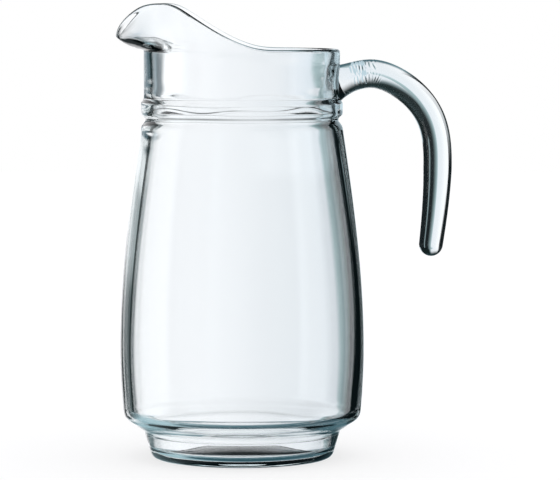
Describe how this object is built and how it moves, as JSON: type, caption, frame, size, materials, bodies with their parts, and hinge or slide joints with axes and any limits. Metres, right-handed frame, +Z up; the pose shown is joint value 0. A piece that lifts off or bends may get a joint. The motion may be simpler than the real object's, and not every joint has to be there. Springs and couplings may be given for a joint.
{
  "type": "glass jug",
  "caption": "Round clear glass jug with a stepped foot, a collar, a raised pouring spout with an ice guard, and a solid glass hook handle.",
  "frame": {"origin": "centre of the face the jug stands on, on the axis of the round body", "axes": "+Z up along the axis of the body, +X towards the handle, -X towards the pouring spout, +Y to the side"},
  "size_m": [0.1906, 0.1388, 0.2581],
  "materials": {
    "body_glass": "clear soda-lime glass, fire polished",
    "handle_glass": "clear soda-lime glass, hot worked"
  },
  "bodies": {
    "root": {"jug_body": "body_glass", "handle": "handle_glass"}
  },
  "joints": []
}
